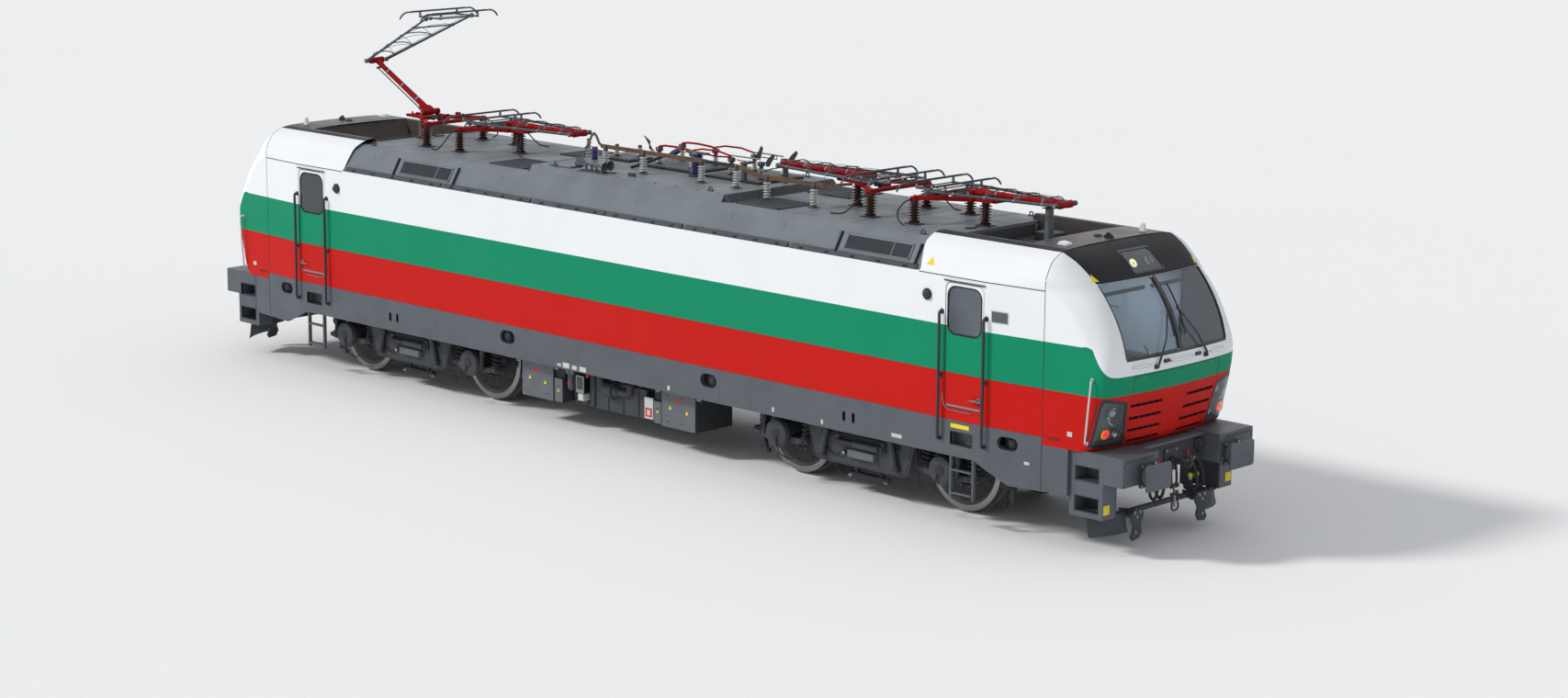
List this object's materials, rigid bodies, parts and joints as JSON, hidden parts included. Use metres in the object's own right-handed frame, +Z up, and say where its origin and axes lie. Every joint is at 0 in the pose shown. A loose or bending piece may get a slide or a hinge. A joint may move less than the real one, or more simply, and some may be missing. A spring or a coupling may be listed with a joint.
{
  "type": "electric locomotive",
  "caption": "Electric locomotive with two cabs, paired bogies, hinged cab doors and folding roof pantographs.",
  "frame": {"origin": "centre of the base, on the floor under the wheel flanges, below the middle of the locomotive", "axes": "+X along the locomotive towards cab 2, +Y across it to its left, +Z up"},
  "size_m": [18.98, 3.164, 5.7722],
  "materials": {
    "underframe_grey": "matt",
    "skirt_grey": "satin",
    "buffer_steel": "satin",
    "dark_steel": "matt",
    "hose_rubber": "matt",
    "bogie_grey": "matt",
    "rail_steel": "brushed",
    "body_paint": "gloss",
    "cab_roof_paint": "satin",
    "windscreen_glass": "clear",
    "black_plastic": "matt",
    "lamp_glass": "clear",
    "cab_lining": "matt",
    "desk_plastic": "matt",
    "seat_fabric": "woven",
    "roof_grey": "satin",
    "insulator_brown": "glazed",
    "busbar_copper": "oxidised",
    "pantograph_red": "satin",
    "box_grey": "satin",
    "door_glass": "clear",
    "spring_steel": "satin",
    "motor_iron": "rough",
    "wheel_steel": "worn",
    "arm_steel": "satin"
  },
  "bodies": {
    "carbody": {"underframe": "underframe_grey", "side_skirts": "skirt_grey", "buffer_beams": "skirt_grey", "buffers": "buffer_steel", "screw_couplings": "dark_steel", "brake_hoses": "hose_rubber", "obstacle_deflectors": "bogie_grey", "ladders": "skirt_grey", "handrails": "rail_steel", "side_wall_left": "body_paint", "side_wall_right": "body_paint", "cab_nose_1": "body_paint", "cab_nose_2": "body_paint", "cab_roof_1": "cab_roof_paint", "cab_roof_2": "cab_roof_paint", "windscreens": "windscreen_glass", "wipers": "black_plastic", "headlights": "lamp_glass", "cab_bulkheads": "cab_lining", "driver_desks": "desk_plastic", "driver_seats": "seat_fabric", "machine_roof": "roof_grey", "roof_hatch": "roof_grey", "roof_insulators": "insulator_brown", "roof_busbars": "busbar_copper", "pantograph_bases": "pantograph_red", "transformer": "bogie_grey", "underfloor_boxes": "box_grey"},
    "door_1_left": {"door_1_left": "body_paint", "door_1_left_window": "door_glass"},
    "door_1_right": {"door_1_right": "body_paint", "door_1_right_window": "door_glass"},
    "door_2_left": {"door_2_left": "body_paint", "door_2_left_window": "door_glass"},
    "door_2_right": {"door_2_right": "body_paint", "door_2_right_window": "door_glass"},
    "bogie_1": {"bogie_frame_1": "bogie_grey", "axle_boxes_1": "bogie_grey", "bogie_springs_1": "spring_steel", "traction_motors_1": "motor_iron"},
    "bogie_2": {"bogie_frame_2": "bogie_grey", "axle_boxes_2": "bogie_grey", "bogie_springs_2": "spring_steel", "traction_motors_2": "motor_iron"},
    "wheelset_1": {"wheelset_1": "wheel_steel"},
    "wheelset_2": {"wheelset_2": "wheel_steel"},
    "wheelset_3": {"wheelset_3": "wheel_steel"},
    "wheelset_4": {"wheelset_4": "wheel_steel"},
    "lower_arm_1": {"lower_arm_1": "pantograph_red"},
    "lower_arm_2": {"lower_arm_2": "pantograph_red"},
    "lower_arm_3": {"lower_arm_3": "pantograph_red"},
    "lower_arm_4": {"lower_arm_4": "pantograph_red"},
    "upper_arm_1": {"upper_arm_1": "arm_steel"},
    "upper_arm_2": {"upper_arm_2": "arm_steel"},
    "upper_arm_3": {"upper_arm_3": "arm_steel"},
    "upper_arm_4": {"upper_arm_4": "arm_steel"},
    "pantograph_head_1": {"pantograph_head_1": "arm_steel"},
    "pantograph_head_2": {"pantograph_head_2": "arm_steel"},
    "pantograph_head_3": {"pantograph_head_3": "arm_steel"},
    "pantograph_head_4": {"pantograph_head_4": "arm_steel"}
  },
  "joints": [
    {"name": "bogie_1_yaw", "type": "hinge", "parent": "carbody", "child": "bogie_1", "pos_m": [-4.75, 0, 0.745], "axis": [0, 0, 1], "range_deg": [-3, 3]},
    {"name": "bogie_2_yaw", "type": "hinge", "parent": "carbody", "child": "bogie_2", "pos_m": [4.75, 0, 0.745], "axis": [0, 0, 1], "range_deg": [-3, 3]},
    {"name": "wheelset_1_roll", "type": "hinge", "parent": "bogie_1", "child": "wheelset_1", "pos_m": [-6.25, 0, 0.655], "axis": [0, 1, 0], "continuous": true},
    {"name": "wheelset_2_roll", "type": "hinge", "parent": "bogie_1", "child": "wheelset_2", "pos_m": [-3.25, 0, 0.655], "axis": [0, 1, 0], "continuous": true},
    {"name": "wheelset_3_roll", "type": "hinge", "parent": "bogie_2", "child": "wheelset_3", "pos_m": [3.25, 0, 0.655], "axis": [0, 1, 0], "continuous": true},
    {"name": "wheelset_4_roll", "type": "hinge", "parent": "bogie_2", "child": "wheelset_4", "pos_m": [6.25, 0, 0.655], "axis": [0, 1, 0], "continuous": true},
    {"name": "door_1_left_hinge", "type": "hinge", "parent": "carbody", "child": "door_1_left", "pos_m": [-6.469, 1.446, 2.405], "axis": [0, 0, 1], "range_deg": [0, 90]},
    {"name": "door_1_right_hinge", "type": "hinge", "parent": "carbody", "child": "door_1_right", "pos_m": [-6.469, -1.446, 2.405], "axis": [0, 0, -1], "range_deg": [0, 90]},
    {"name": "door_2_left_hinge", "type": "hinge", "parent": "carbody", "child": "door_2_left", "pos_m": [6.469, 1.446, 2.405], "axis": [0, 0, -1], "range_deg": [0, 90]},
    {"name": "door_2_right_hinge", "type": "hinge", "parent": "carbody", "child": "door_2_right", "pos_m": [6.469, -1.446, 2.405], "axis": [0, 0, 1], "range_deg": [0, 90]},
    {"name": "pantograph_1_raise", "type": "hinge", "parent": "carbody", "child": "lower_arm_1", "pos_m": [-5.665, 0, 4.14], "axis": [0, 1, 0], "range_deg": [-28, 18]},
    {"name": "pantograph_1_knee", "type": "hinge", "parent": "lower_arm_1", "child": "upper_arm_1", "pos_m": [-6.98942, 0, 4.84421], "axis": [0, 1, 0], "range_deg": [-33.73, 52.41]},
    {"name": "pantograph_1_head_pivot", "type": "hinge", "parent": "upper_arm_1", "child": "pantograph_head_1", "pos_m": [-5.17587, 0, 5.66342], "axis": [0, 1, 0], "range_deg": [-24.41, 15.73]},
    {"name": "pantograph_2_raise", "type": "hinge", "parent": "carbody", "child": "lower_arm_2", "pos_m": [-3.675, 0, 4.14], "axis": [0, -1, 0], "range_deg": [0, 46]},
    {"name": "pantograph_2_knee", "type": "hinge", "parent": "lower_arm_2", "child": "upper_arm_2", "pos_m": [-2.175, 0, 4.14], "axis": [0, -1, 0], "range_deg": [-86.04, 0.1]},
    {"name": "pantograph_2_head_pivot", "type": "hinge", "parent": "upper_arm_2", "child": "pantograph_head_2", "pos_m": [-4.165, 0, 4.14], "axis": [0, -1, 0], "range_deg": [-0.1, 40.04]},
    {"name": "pantograph_3_raise", "type": "hinge", "parent": "carbody", "child": "lower_arm_3", "pos_m": [3.675, 0, 4.14], "axis": [0, 1, 0], "range_deg": [0, 46]},
    {"name": "pantograph_3_knee", "type": "hinge", "parent": "lower_arm_3", "child": "upper_arm_3", "pos_m": [2.175, 0, 4.14], "axis": [0, 1, 0], "range_deg": [-86.04, 0.1]},
    {"name": "pantograph_3_head_pivot", "type": "hinge", "parent": "upper_arm_3", "child": "pantograph_head_3", "pos_m": [4.165, 0, 4.14], "axis": [0, 1, 0], "range_deg": [-0.1, 40.04]},
    {"name": "pantograph_4_raise", "type": "hinge", "parent": "carbody", "child": "lower_arm_4", "pos_m": [5.665, 0, 4.14], "axis": [0, -1, 0], "range_deg": [0, 46]},
    {"name": "pantograph_4_knee", "type": "hinge", "parent": "lower_arm_4", "child": "upper_arm_4", "pos_m": [7.165, 0, 4.14], "axis": [0, -1, 0], "range_deg": [-86.04, 0.1]},
    {"name": "pantograph_4_head_pivot", "type": "hinge", "parent": "upper_arm_4", "child": "pantograph_head_4", "pos_m": [5.175, 0, 4.14], "axis": [0, -1, 0], "range_deg": [-0.1, 40.04]}
  ],
  "couplings": [
    {"joint": "pantograph_1_knee", "follows": "pantograph_1_raise", "ratio": -1.8682},
    {"joint": "pantograph_1_head_pivot", "follows": "pantograph_1_raise", "ratio": 0.8682},
    {"joint": "pantograph_2_knee", "follows": "pantograph_2_raise", "ratio": -1.8682},
    {"joint": "pantograph_2_head_pivot", "follows": "pantograph_2_raise", "ratio": 0.8682},
    {"joint": "pantograph_3_knee", "follows": "pantograph_3_raise", "ratio": -1.8682},
    {"joint": "pantograph_3_head_pivot", "follows": "pantograph_3_raise", "ratio": 0.8682},
    {"joint": "pantograph_4_knee", "follows": "pantograph_4_raise", "ratio": -1.8682},
    {"joint": "pantograph_4_head_pivot", "follows": "pantograph_4_raise", "ratio": 0.8682}
  ]
}
